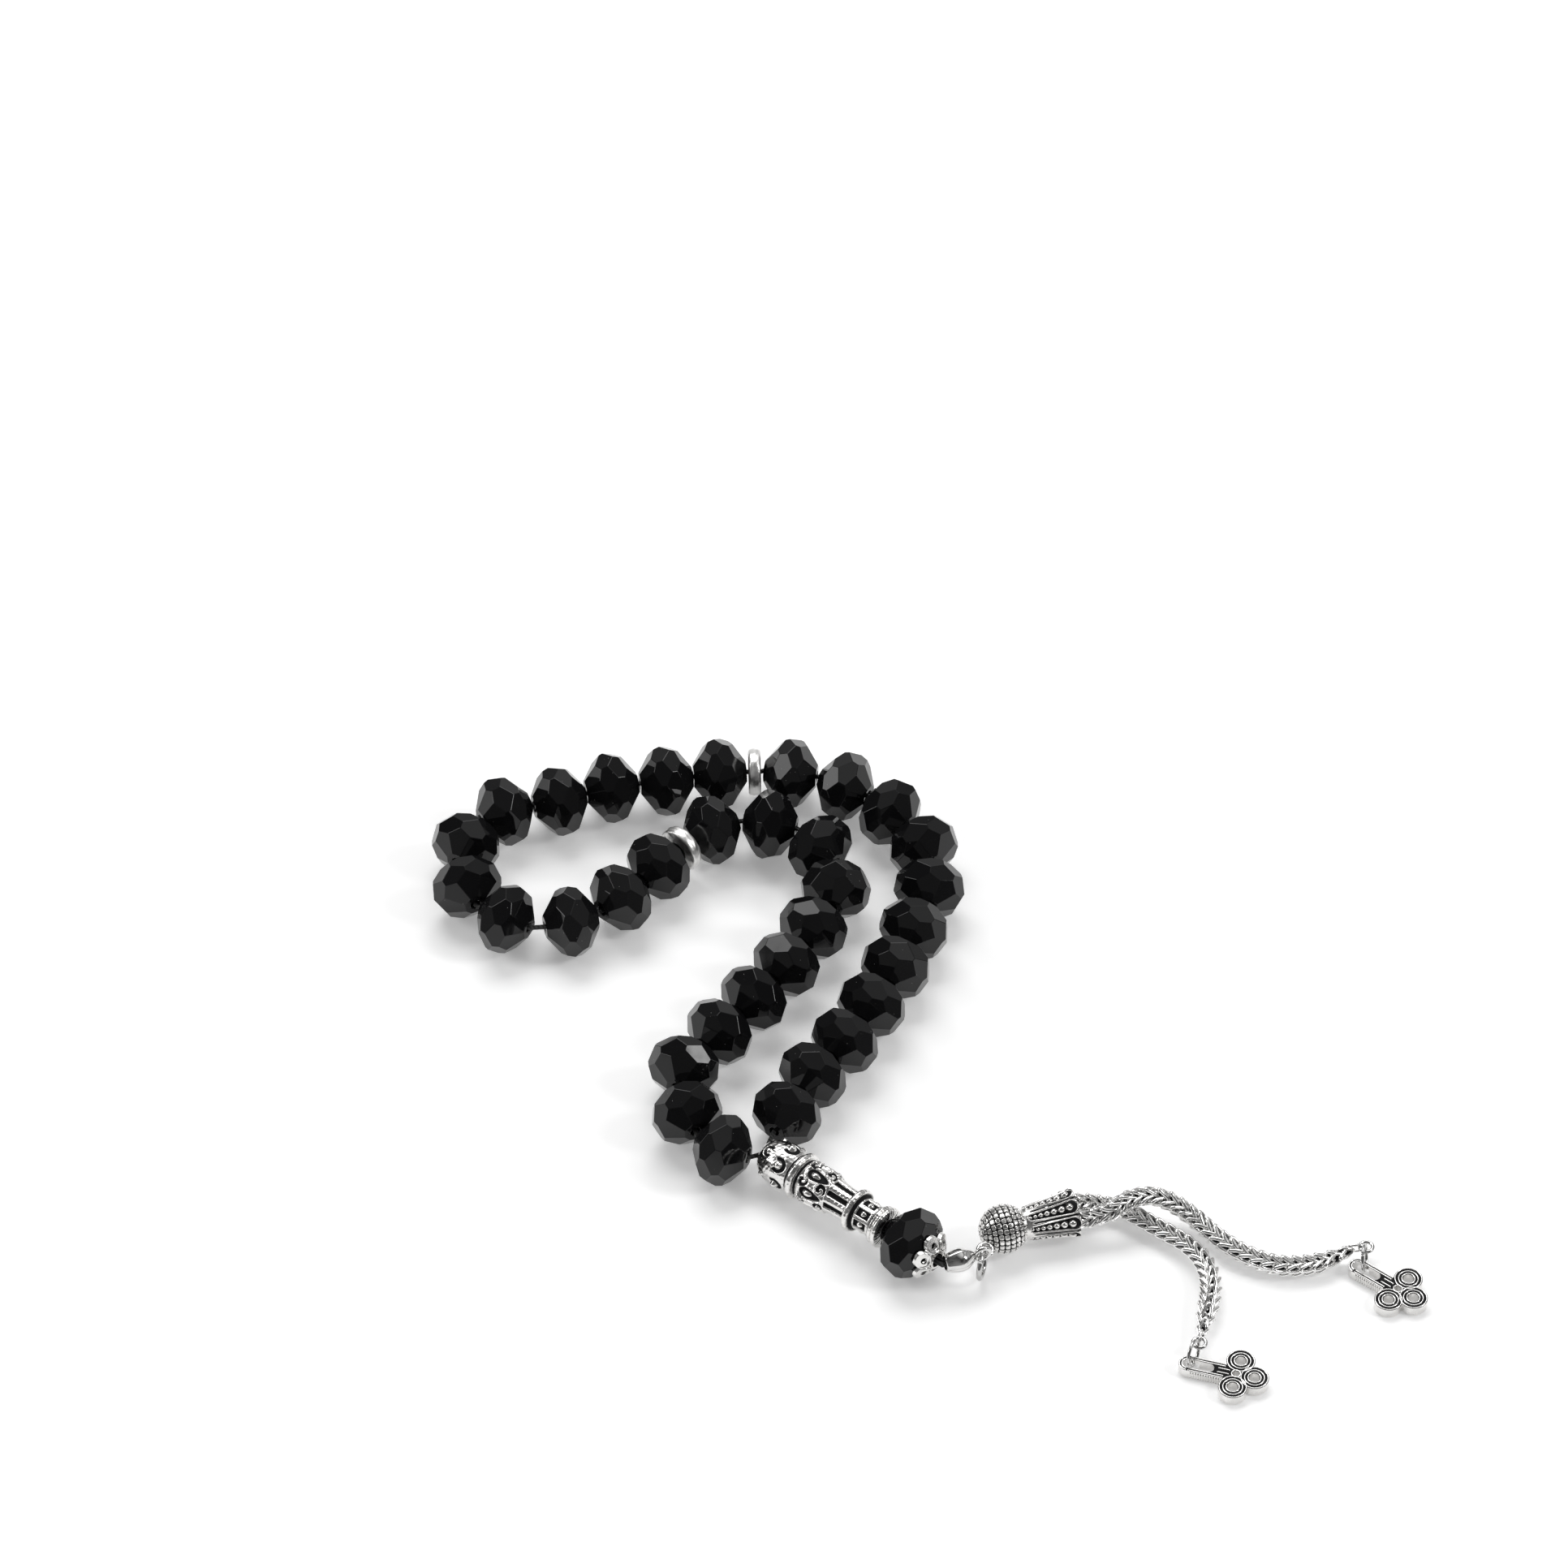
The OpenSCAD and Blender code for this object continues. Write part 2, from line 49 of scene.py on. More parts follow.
# --- Camera: a long lens, looking down at 46 degrees ---
ELEVATION = math.radians(45.8)
TARGET = Vector((0.005, 0.043, 0.005))
DISTANCE = 1.1
cam_data = bpy.data.cameras.new("camera")
cam_data.sensor_width = 36
cam_data.lens = 171.9
camera = bpy.data.objects.new("camera", cam_data)
camera.location = TARGET + DISTANCE * Vector((0, -math.cos(ELEVATION), math.sin(ELEVATION)))
camera.rotation_euler = (math.pi / 2 - ELEVATION, 0, 0)
bpy.context.scene.collection.objects.link(camera)
bpy.context.scene.camera = camera


# --- Mesh helpers: everything is made in millimetres and scaled on the way in ---
def make_object(name, verts, faces, matrix=None, dark=None):
    """A mesh object from points in mm. dark is 0 to 1 for each point: how much black patina and painted shade it
    holds.
    """
    points = np.asarray(verts, float).reshape(-1, 3)
    if matrix is not None:
        m = np.array(matrix)
        points = points @ m[:3, :3].T + m[:3, 3]
    mesh = bpy.data.meshes.new(name)
    mesh.from_pydata((points * MM).tolist(), [], [list(map(int, f)) for f in faces])
    mesh.polygons.foreach_set("use_smooth", [True] * len(mesh.polygons))
    if dark is not None:
        layer = mesh.attributes.new("dark", "FLOAT", "POINT")
        layer.data.foreach_set("value", np.asarray(dark, float).ravel())
    mesh.update()
    obj = bpy.data.objects.new(name, mesh)
    bpy.context.scene.collection.objects.link(obj)
    return obj


def grid_faces(rows, cols, wrap_rows=False, base=0):
    """Quads between rows of points, each row a closed ring."""
    r = np.arange(rows if wrap_rows else rows - 1)[:, None]
    c = np.arange(cols)[None, :]
    r2, c2 = (r + 1) % rows, (c + 1) % cols
    quads = np.stack([r * cols + c, r * cols + c2, r2 * cols + c2, r2 * cols + c], axis=-1)
    return quads.reshape(-1, 4) + base


def smooth_path(points, steps):
    """The same smooth curve through points as the solid model's."""
    p = np.array(points, float)
    last = len(p) - 1
    out = []
    for i in range(last):
        p0, p1, p2, p3 = p[max(i - 1, 0)], p[i], p[i + 1], p[min(i + 2, last)]
        for s in range(steps):
            t = s / steps
            out.append(0.5 * (2 * p1 + (p2 - p0) * t + (2 * p0 - 5 * p1 + 4 * p2 - p3) * t * t
                              + (3 * p1 - p0 - 3 * p2 + p3) * t ** 3))
    out.append(p[last])
    return np.array(out)


def path_length(path):
    return float(np.linalg.norm(np.diff(path, axis=0), axis=1).sum())


def resample(path, count):
    """The same line as count points, evenly spaced."""
    steps = np.linalg.norm(np.diff(path, axis=0), axis=1)
    along = np.concatenate([[0], np.cumsum(steps)])
    at = np.linspace(0, along[-1], count)
    return np.stack([np.interp(at, along, path[:, k]) for k in range(3)], axis=1)


def frames_along(path, closed=False):
    """Unit tangent, side and up at each point, turning as little as possible."""
    if closed:
        tangent = np.roll(path, -1, axis=0) - np.roll(path, 1, axis=0)
    else:
        tangent = np.gradient(path, axis=0)
    tangent /= np.linalg.norm(tangent, axis=1)[:, None]
    side = np.zeros_like(path)
    start = np.cross(tangent[0], [0, 0, 1])
    if np.linalg.norm(start) < 0.1:
        start = np.cross(tangent[0], [0, 1, 0])
    side[0] = start / np.linalg.norm(start)
    for i in range(1, len(path)):
        s = side[i - 1] - tangent[i] * np.dot(side[i - 1], tangent[i])
        side[i] = s / np.linalg.norm(s)
    up = np.cross(side, tangent)
    return tangent, side, up


def tubes(name, paths, radius, sides=10, closed=True, matrix=None, flat=1.0):
    """One mesh of round wires. flat below 1 squashes the wire's height."""
    verts, faces = [], []
    turn = np.linspace(0, 2 * math.pi, sides, endpoint=False)
    for path in paths:
        path = np.asarray(path, float)
        tangent, side, up = frames_along(path, closed)
        base = sum(len(v) for v in verts)
        ring = (path[:, None, :] + radius * np.cos(turn)[None, :, None] * side[:, None, :]
                + radius * flat * np.sin(turn)[None, :, None] * up[:, None, :])
        verts.append(ring.reshape(-1, 3))
        faces += grid_faces(len(path), sides, wrap_rows=closed, base=base).tolist()
        if not closed:
            faces.append(list(range(base, base + sides)))
            faces.append(list(range(base + (len(path) - 1) * sides, base + len(path) * sides))[::-1])
    return make_object(name, np.concatenate(verts), faces, matrix)


def circle_path(r, count=40, x=0.0, y=0.0, z=0.0, start=0.0, end=2 * math.pi, closed=True):
    a = np.linspace(start, end, count, endpoint=not closed)
    return np.stack([x + r * np.cos(a), y + r * np.sin(a), np.full_like(a, z)], axis=1)


def smoothstep(low, high, v):
    t = np.clip((v - low) / (high - low), 0, 1)
    return t * t * (3 - 2 * t)


LEAST_R = 0.05


def lathe(name, profile, segments, relief, matrix, spacing=0.09):
    """Turns a closed profile of (x, r) about X. relief(x, r, angle) gives its surface's height and darkness:
    patina, and painted shade on some parts.
    """
    profile = np.array(profile, float)
    pts = []
    for a, b in zip(profile, np.roll(profile, -1, axis=0)):
        n = max(1, int(np.linalg.norm(b - a) / spacing))
        pts += [a + (b - a) * k / n for k in range(n)]
    pts = np.array(pts)
    tangent = np.roll(pts, -1, axis=0) - np.roll(pts, 1, axis=0)
    tangent /= np.linalg.norm(tangent, axis=1)[:, None] + 1e-9
    normal = np.stack([-tangent[:, 1], tangent[:, 0]], axis=1)
    angle = np.linspace(0, 2 * math.pi, segments, endpoint=False)
    x, r, a = pts[:, 0:1], pts[:, 1:2], angle[None, :]
    height, dark = relief(x + 0 * a, r + 0 * a, a + 0 * x)
    gx = x + normal[:, 0:1] * height
    gr = np.maximum(r + normal[:, 1:2] * height, LEAST_R)
    verts = np.stack([gx, gr * np.cos(a), gr * np.sin(a)], axis=-1).reshape(-1, 3)
    faces = grid_faces(len(pts), segments, wrap_rows=True)[:, ::-1]
    return make_object(name, verts, faces, matrix, dark=dark)


def axis_matrix(pos, axis, roll=0.0):
    """Stands at pos (mm) with +X along axis and +Z up, then rolls about X by an angle in degrees."""
    x = Vector(axis).normalized()
    y = Vector((0, 0, 1)).cross(x).normalized()
    z = x.cross(y)
    m = Matrix((x, y, z)).transposed().to_4x4()
    m.translation = Vector(pos)
    return m @ Matrix.Rotation(math.radians(roll), 4, "X")


def joint_place(name):
    j = JOINTS[name]
    return Vector(j["pos_m"]) / MM, Vector(j["axis"])


def put(obj, body, material, slot, *replaced):
    """Gives a piece its material, its body and the CAD nodes that it stands for; slot is not used."""
    if not obj.data.materials:
        obj.data.materials.append(material)
    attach(obj, body)
    if replaced:
        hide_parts(*replaced)


# --- Materials ---
def new_material(name):
    m = bpy.data.materials.new(name)
    m.use_nodes = True
    nodes, links = m.node_tree.nodes, m.node_tree.links
    return m, nodes, links, nodes["Principled BSDF"]


def add(nodes, kind, **values):
    n = nodes.new(kind)
    for key, value in values.items():
        if key in n.inputs:
            n.inputs[key].default_value = value
        else:
            setattr(n, key, value)
    return n


def ramp(nodes, links, source, stops):
    r = nodes.new("ShaderNodeValToRGB")
    elements = r.color_ramp.elements
    while len(elements) < len(stops):
        elements.new(0.5)
    for e, (at, value) in zip(elements, stops):
        e.position = at
        e.color = (value, value, value, 1) if isinstance(value, (int, float)) else (*value, 1)
    links.new(source, r.inputs["Fac"])
    return r


def glass_material():
    """Black pressed glass: deep gloss, faint waviness, a few dust specks and finger smears."""
    m, nodes, links, shader = new_material("black_glass")
    place = nodes.new("ShaderNodeTexCoord")
    specks = add(nodes, "ShaderNodeTexVoronoi", Scale=1500.0)
    links.new(place.outputs["Object"], specks.inputs["Vector"])
    dot = ramp(nodes, links, specks.outputs["Distance"], [(0.0, 1.0), (0.05, 1.0), (0.09, 0.0)])
    rare = nodes.new("ShaderNodeSeparateColor")
    links.new(specks.outputs["Color"], rare.inputs["Color"])
    chosen = ramp(nodes, links, rare.outputs["Red"], [(0.0, 0.0), (0.86, 0.0), (0.88, 1.0)])
    both = add(nodes, "ShaderNodeMath", operation="MULTIPLY")
    links.new(dot.outputs["Color"], both.inputs[0])
    links.new(chosen.outputs["Color"], both.inputs[1])
    mix = add(nodes, "ShaderNodeMix", data_type="RGBA")
    mix.inputs["A"].default_value = (0.006, 0.006, 0.0065, 1)
    mix.inputs["B"].default_value = (0.30, 0.30, 0.29, 1)
    links.new(both.outputs[0], mix.inputs["Factor"])
    links.new(mix.outputs["Result"], shader.inputs["Base Color"])
    smear = add(nodes, "ShaderNodeTexNoise", Scale=420.0, Detail=4.0)
    links.new(place.outputs["Object"], smear.inputs["Vector"])
    rough = ramp(nodes, links, smear.outputs["Fac"], [(0.35, 0.015), (0.7, 0.06)])
    links.new(rough.outputs["Color"], shader.inputs["Roughness"])
    wave = add(nodes, "ShaderNodeTexNoise", Scale=160.0, Detail=1.0)
    links.new(place.outputs["Object"], wave.inputs["Vector"])
    bump = add(nodes, "ShaderNodeBump", Strength=0.10, Distance=0.0004)
    links.new(wave.outputs["Fac"], bump.inputs["Height"])
    links.new(bump.outputs["Normal"], shader.inputs["Normal"])
    shader.inputs["IOR"].default_value = 1.40
    return m


def chip_material():
    """The frosted, chipped edge round a bead's hole."""
    m, nodes, links, shader = new_material("chipped_glass")
    place = nodes.new("ShaderNodeTexCoord")
    grit = add(nodes, "ShaderNodeTexNoise", Scale=5200.0, Detail=6.0)
    links.new(place.outputs["Object"], grit.inputs["Vector"])
    tone = ramp(nodes, links, grit.outputs["Fac"], [(0.4, 0.02), (0.6, 0.26)])
    links.new(tone.outputs["Color"], shader.inputs["Base Color"])
    shader.inputs["Roughness"].default_value = 0.45
    return m


def metal_material(name, tone, rough_low, rough_high, patina_and_shade, scratches, scale=1.0, paint_up_faces_dark=False):
    """Plated metal: worn bright on what stands proud, and black where patina has settled and where shade is
    painted in; it can also paint the faces that look up dark as painted shade.
    """
    m, nodes, links, shader = new_material(name)
    place = nodes.new("ShaderNodeTexCoord")
    cloud = add(nodes, "ShaderNodeTexNoise", Scale=700.0 * scale, Detail=5.0)
    links.new(place.outputs["Object"], cloud.inputs["Vector"])
    bright = ramp(nodes, links, cloud.outputs["Fac"],
                  [(0.3, tuple(c * 0.86 for c in tone)), (0.65, tone)])
    rough = ramp(nodes, links, cloud.outputs["Fac"], [(0.35, rough_low), (0.7, rough_high)])
    links.new(bright.outputs["Color"], shader.inputs["Base Color"])
    links.new(rough.outputs["Color"], shader.inputs["Roughness"])
    shader.inputs["Metallic"].default_value = 1.0
    if patina_and_shade:
        held = add(nodes, "ShaderNodeAttribute", attribute_name="dark")
        source = held.outputs["Fac"]
        if paint_up_faces_dark:
            # Flat faces that look up are painted dark, as painted shade, and the edges and sides are left bright
            facing = nodes.new("ShaderNodeNewGeometry")
            parts = nodes.new("ShaderNodeSeparateXYZ")
            links.new(facing.outputs["True Normal"], parts.inputs["Vector"])
            source = ramp(nodes, links, parts.outputs["Z"], [(0.9, 0.0), (0.98, 1.0)]).outputs["Color"]
        edge = add(nodes, "ShaderNodeTexNoise", Scale=2600.0, Detail=3.0)
        links.new(place.outputs["Object"], edge.inputs["Vector"])
        spread = add(nodes, "ShaderNodeMath", operation="MULTIPLY_ADD")
        spread.inputs[1].default_value = 0.5
        links.new(edge.outputs["Fac"], spread.inputs[0])
        links.new(source, spread.inputs[2])
        level = ramp(nodes, links, spread.outputs[0], [(0.42, 0.0), (0.8, 1.0)])
        mix = add(nodes, "ShaderNodeMix", data_type="RGBA")
        mix.inputs["B"].default_value = (0.012, 0.012, 0.013, 1)
        links.new(level.outputs["Color"], mix.inputs["Factor"])
        links.new(bright.outputs["Color"], mix.inputs["A"])
        links.new(mix.outputs["Result"], shader.inputs["Base Color"])
        keep = add(nodes, "ShaderNodeMath", operation="SUBTRACT")
        keep.inputs[0].default_value = 1.0
        links.new(level.outputs["Color"], keep.inputs[1])
        links.new(keep.outputs[0], shader.inputs["Metallic"])
        # The patina and the painted shade are matt
        matt = add(nodes, "ShaderNodeMath", operation="MULTIPLY_ADD")
        matt.inputs[1].default_value = 0.5
        links.new(level.outputs["Color"], matt.inputs[0])
        links.new(rough.outputs["Color"], matt.inputs[2])
        links.new(matt.outputs[0], shader.inputs["Roughness"])
        shader.inputs["Specular IOR Level"].default_value = 0.15
    marks = add(nodes, "ShaderNodeTexNoise", Scale=2200.0 * scale, Detail=6.0)
    links.new(place.outputs["Object"], marks.inputs["Vector"])
    bump = add(nodes, "ShaderNodeBump", Strength=scratches, Distance=0.00008)
    links.new(marks.outputs["Fac"], bump.inputs["Height"])
    links.new(bump.outputs["Normal"], shader.inputs["Normal"])
    return m


def cord_material():
    """Waxed black braid."""
    m, nodes, links, shader = new_material("cord")
    place = nodes.new("ShaderNodeTexCoord")
    twist = add(nodes, "ShaderNodeTexWave", Scale=900.0, Distortion=2.0)
    twist.bands_direction = "DIAGONAL"
    links.new(place.outputs["Object"], twist.inputs["Vector"])
    tone = ramp(nodes, links, twist.outputs["Fac"], [(0.2, 0.008), (0.8, 0.035)])
    links.new(tone.outputs["Color"], shader.inputs["Base Color"])
    bump = add(nodes, "ShaderNodeBump", Strength=0.6, Distance=0.0001)
    links.new(twist.outputs["Fac"], bump.inputs["Height"])
    links.new(bump.outputs["Normal"], shader.inputs["Normal"])
    shader.inputs["Roughness"].default_value = 0.55
    return m


SILVER = (0.86, 0.85, 0.835)
GLASS = glass_material()
CHIPPED = chip_material()
ANTIQUE = metal_material("antique_silver", SILVER, 0.14, 0.30, True, 0.35)
POLISHED = metal_material("polished_silver", (0.74, 0.735, 0.725), 0.08, 0.20, False, 0.22, 0.6)
# A darker silver than the other parts: painted shade for the dark edges of the thin rings, pin and end links
SHADED_WIRE = metal_material("bright_wire", (0.58, 0.578, 0.572), 0.07, 0.16, False, 0.12)
CHAIN = metal_material("chain_wire", (0.95, 0.945, 0.935), 0.10, 0.22, True, 0.12)
CHARM_PLATE = metal_material("charm_plate", SILVER, 0.16, 0.30, True, 0.3, paint_up_faces_dark=True)
CHAIN_BRIGHT = metal_material("link_wire", (0.9, 0.895, 0.885), 0.10, 0.22, False, 0.12)
BRUSHED = metal_material("brushed_silver", (0.93, 0.925, 0.91), 0.34, 0.5, True, 0.5)
CORD = cord_material()

# --- The two woven chains, which start inside the tassel cap ---
EYE_POS = Vector(JOINTS["tassel_swing"]["pos_m"]) / MM
EYE_TURN = math.radians(56)
EYE_REACH = 4.6
CAP_POS = EYE_POS + EYE_REACH * Vector((math.cos(EYE_TURN), math.sin(EYE_TURN), 0))
CAP_ANGLE = math.radians(17)
CAP_DIR = np.array([math.cos(CAP_ANGLE), math.sin(CAP_ANGLE), 0])
CAP_SIDE = np.array([-math.sin(CAP_ANGLE), math.cos(CAP_ANGLE), 0])


def in_cap(along, aside, up=0.0):
    return np.array(CAP_POS) + along * CAP_DIR + aside * CAP_SIDE + np.array([0, 0, up])


CHAIN_ROUTES = {
    "chain_1": [
        in_cap(7, -1), in_cap(8.9, -1.25), in_cap(10.8, -1.65), in_cap(12.8, -1.75, 0.3),
        (50.4, -39.6, 4.4), (52.8, -38.2, 5.2), (55.2, -37.4, 5.3), (57.6, -37.2, 4.7), (60, -37.7, 3.5),
        (62.4, -39, 2.3), (64.6, -41.2, 1.8), (67, -43.6, 1.8), (70.2, -45.8, 1.8), (74, -47.2, 1.8),
        (78, -47, 1.8), (81, -45.9, 1.8), (84.1, -44.2, 2)],
    "chain_2": [
        in_cap(7, 1), in_cap(8.9, 1.25), in_cap(10.8, 1.65), in_cap(12.8, 1.7, -0.5),
        (49.6, -36.3, 2.1), (52, -36.8, 1.8), (54.4, -38.2, 1.8), (56.8, -40, 1.8), (59, -41.6, 1.8),
        (61.2, -43.4, 1.8), (63, -45.8, 1.8), (64, -49, 1.8), (64, -52.6, 1.8), (63.2, -56.4, 1.8),
        (62.4, -60, 2)],
}
CHAIN_R = 1.7
CHAIN_WIRE = 0.27
CHAIN_PITCH = 0.8
FOLD = math.radians(27)
LINK_HALF_WIDTH = 0.62
POINTS_PER_LINK = 8
FLOOR_GAP = 0.02


def woven_chain(name, route):
    """Wheat chain: oval links folded in half, each turned a quarter from the last and threaded through it."""
    path = smooth_path(route, 12)
    length = path_length(path)
    count = int(length / CHAIN_PITCH)
    fine = resample(path, count * POINTS_PER_LINK + 1)
    tangent, side, up = frames_along(fine)
    link_angle = np.linspace(0, 2 * math.pi, 28, endpoint=False)
    sides = 8
    wire_angle = np.linspace(0, 2 * math.pi, sides, endpoint=False)
    verts, faces, dark = [], [], []
    base = 0
    lateral = CHAIN_R - CHAIN_WIRE
    for i in range(count):
        at = i * POINTS_PER_LINK
        # The links are smaller at both ends
        grow = min(1.0, 0.45 + 0.55 * i / 7, 0.55 + 0.45 * (count - 1 - i) / 3)
        reach = lateral * grow / math.sin(FOLD)
        u = reach * np.cos(link_angle)
        v = LINK_HALF_WIDTH * grow * np.sin(link_angle)
        back = np.sqrt(u * u + 0.1) * math.cos(FOLD)
        # Every other link lies across
        across = (i % 2) * math.pi / 2
        ca, sa = math.cos(across), math.sin(across)
        lat = u * math.sin(FOLD)
        lx, ly = lat * ca - v * sa, lat * sa + v * ca
        # The legs bend with the chain: each point uses the frame where it lies
        where = np.clip(at + (1.0 - back) / (length / (count * POINTS_PER_LINK)), 0, len(fine) - 1)
        low = np.floor(where).astype(int)
        high = np.minimum(low + 1, len(fine) - 1)
        f = (where - low)[:, None]
        centre = fine[low] * (1 - f) + fine[high] * f
        s = side[low] * (1 - f) + side[high] * f
        w = up[low] * (1 - f) + up[high] * f
        loop = centre + lx[:, None] * s + ly[:, None] * w
        lt, ls, lu = frames_along(loop, closed=True)
        r = CHAIN_WIRE * (0.75 + 0.25 * grow)
        ring = (loop[:, None, :] + r * np.cos(wire_angle)[None, :, None] * ls[:, None, :]
                + r * np.sin(wire_angle)[None, :, None] * lu[:, None, :])
        verts.append(ring.reshape(-1, 3))
        # The inside of the weave is painted dark: painted shade between the wires
        depth = np.linalg.norm(ring - centre[:, None, :], axis=2)
        dark.append((0.75 - 0.75 * smoothstep(0.32 * CHAIN_R * grow, 0.62 * CHAIN_R * grow, depth)).ravel())
        faces.append(grid_faces(len(link_angle), sides, wrap_rows=True, base=base))
        base += len(link_angle) * sides
    verts = np.concatenate(verts)
    verts[:, 2] = np.maximum(verts[:, 2], FLOOR_GAP)
    chain = make_object(name + "_woven", verts, np.concatenate(faces), dark=np.concatenate(dark))
    put(chain, "tassel", CHAIN, "bright_wire", name)


def joining_link(number):
    """A standing oval link from the woven chain's last loop to the flat end link."""
    corners = [Vector(c) for c in NODES[f"end_link_{number}"].bound_box]
    flat_link = np.array(NODES[f"end_link_{number}"].matrix_world @ (sum(corners, Vector()) / 8)) / MM
    chain_end = np.array(CHAIN_ROUTES[f"chain_{number}"][-1], float)
    along = flat_link - chain_end
    far = float(np.linalg.norm(along[:2]))
    along = np.array([along[0], along[1], 0]) / far
    middle = (chain_end + flat_link) / 2 - 0.55 * along
    a = np.linspace(0, 2 * math.pi, 36, endpoint=False)
    half = (far - 0.1) / 2 + 0.35
    standing = LINK_HALF_WIDTH * np.sin(a)[:, None] * np.array([0, 0, 1])
    loop = middle + half * np.cos(a)[:, None] * along + standing
    put(tubes(f"joining_link_{number}", [loop], 0.2, 8), "tassel", CHAIN_BRIGHT, "bright_wire")


for number in (1, 2):
    joining_link(number)

# --- Glass beads ---
BEAD_HALF = 3.9
BEAD_HOLE_R = 0.75
NECK_HOLE_R = 1.05
ROLL_STEP = 137.5
GIRDLE_TILT, GIRDLE_DIST = math.radians(18), 4.757
SHOULDER_TILT, SHOULDER_DIST = math.radians(54), 4.078
FACETS = 8
STEP = 2 * math.pi / FACETS


def bead_planes(seed):
    """The cut planes of one bead, each a little off true as a machine-cut bead's are."""
    r = random.Random(seed)
    planes = []
    rows = ((GIRDLE_TILT, GIRDLE_DIST, 0.0), (SHOULDER_TILT, SHOULDER_DIST, STEP / 2))
    for side, start in ((1, 0.0), (-1, STEP / 2)):
        for k in range(FACETS):
            for tilt, dist, shift in rows:
                t = tilt + r.gauss(0, 0.026)
                a = start + shift + k * STEP + r.gauss(0, 0.03)
                n = Vector((side * math.sin(t), math.cos(t) * math.cos(a), math.cos(t) * math.sin(a)))
                planes.append((n, dist - abs(r.gauss(0, 0.03))))
        planes.append((Vector((side, 0, 0)), BEAD_HALF))
    return planes


def glass_bead(name, seed, pos, axis, roll, hole_r):
    r = random.Random(seed * 7 + 1)
    bm = bmesh.new()
    bmesh.ops.create_cube(bm, size=16)
    for n, d in bead_planes(seed):
        cut = bmesh.ops.bisect_plane(
            bm, geom=bm.verts[:] + bm.edges[:] + bm.faces[:], plane_co=n * d, plane_no=n, clear_outer=True)
        edges = [e for e in cut["geom_cut"] if isinstance(e, bmesh.types.BMEdge)]
        if edges:
            bmesh.ops.contextual_create(bm, geom=edges)
    bmesh.ops.remove_doubles(bm, verts=bm.verts[:], dist=0.002)
    sharp = [e for e in bm.edges if len(e.link_faces) == 2 and e.calc_face_angle(0) > 0.06]
    bmesh.ops.bevel(bm, geom=sharp, offset=0.055, segments=2, profile=0.5, affect="EDGES", clamp_overlap=True)
    bm.normal_update()
    count = 22
    bore = []
    for side in (1, -1):
        tables = [f for f in bm.faces if f.normal.x * side > 0.9995 and f.calc_area() > 2]
        table = max(tables, key=lambda f: f.calc_area())
        outer = list(table.edges)
        bmesh.ops.delete(bm, geom=[table], context="FACES_ONLY")
        rim, throat = [], []
        for k in range(count):
            a = 2 * math.pi * k / count
            chip = hole_r + 0.05 + 0.16 * r.random() ** 2
            rim.append(bm.verts.new((side * BEAD_HALF, chip * math.cos(a), chip * math.sin(a))))
            depth = BEAD_HALF - 0.08 - 0.12 * r.random()
            throat.append(bm.verts.new((side * depth, hole_r * math.cos(a), hole_r * math.sin(a))))
        ring = [bm.edges.new((rim[k], rim[(k + 1) % count])) for k in range(count)]
        bmesh.ops.triangle_fill(bm, use_beauty=True, edges=outer + ring, normal=(side, 0, 0))
        for k in range(count):
            k2 = (k + 1) % count
            chipped = bm.faces.new((rim[k], rim[k2], throat[k2], throat[k]))
            chipped.material_index = 1
        bore.append(throat)
    for k in range(count):
        k2 = (k + 1) % count
        wall = bm.faces.new((bore[0][k], bore[0][k2], bore[1][k2], bore[1][k]))
        wall.smooth = True
    bmesh.ops.recalc_face_normals(bm, faces=bm.faces[:])
    mesh = bpy.data.meshes.new(name)
    bm.to_mesh(mesh)
    bm.free()
    mesh.transform(Matrix.Scale(MM, 4) @ axis_matrix(pos, axis, roll))
    mesh.materials.append(GLASS)
    mesh.materials.append(CHIPPED)
    obj = bpy.data.objects.new(name, mesh)
    bpy.context.scene.collection.objects.link(obj)
    return obj


for i in range(1, 34):
    node = f"bead_{i:02d}"
    pos, axis = joint_place(node + "_spin")
    glass = glass_bead(node + "_glass", i, pos, axis, i * ROLL_STEP, BEAD_HOLE_R)
    put(glass, node, GLASS, "black_glass", node)
pos, axis = joint_place("neck_bead_spin")
glass = glass_bead("neck_bead_glass", 77, pos, axis, 11, NECK_HOLE_R)
put(glass, "neck_bead", GLASS, "black_glass", "neck_bead")


# --- Divider rings ---
def spacer_relief(x, r, a):
    dents = 0.05 * np.sin(3 * a + 7 * x) * np.sin(5 * a - 2) + 0.03 * np.sin(11 * a + 3 * x)
    rim = smoothstep(2.2, 3.0, r)
    # The ring is painted dark near its hole, where the beads press on it: painted shade between ring and bead
    return dents * rim * 0.7 - 0.02 * rim, 0.9 * (1 - smoothstep(1.2, 1.9, r))


SPACER = [(-0.9, 0.75), (-0.9, 3.0), (-0.85, 3.2), (-0.7, 3.36), (-0.45, 3.44), (0, 3.47), (0.45, 3.44),
          (0.7, 3.36), (0.85, 3.2), (0.9, 3.0), (0.9, 0.75)]
for number in (1, 2):
    node = f"spacer_{number}"
    pos, axis = joint_place(node + "_spin")
    put(lathe(node + "_ring", SPACER, 96, spacer_relief, axis_matrix(pos, axis), 0.12),
        node, BRUSHED, "antique_silver", node)


# --- Leader bead ---
def around(a, count, offset=0.0):
    """Angle from the nearest of count places round the bead."""
    step = 2 * math.pi / count
    n = np.round((a - offset) / step)
    return (a - offset) - n * step


def boss(dx, dw, radius, height):
    """The height of a round boss, dx along and dw around from its centre."""
    d = np.sqrt(dx * dx + dw * dw) / radius
    return height * np.sqrt(np.clip(1 - d * d, 0, 1))


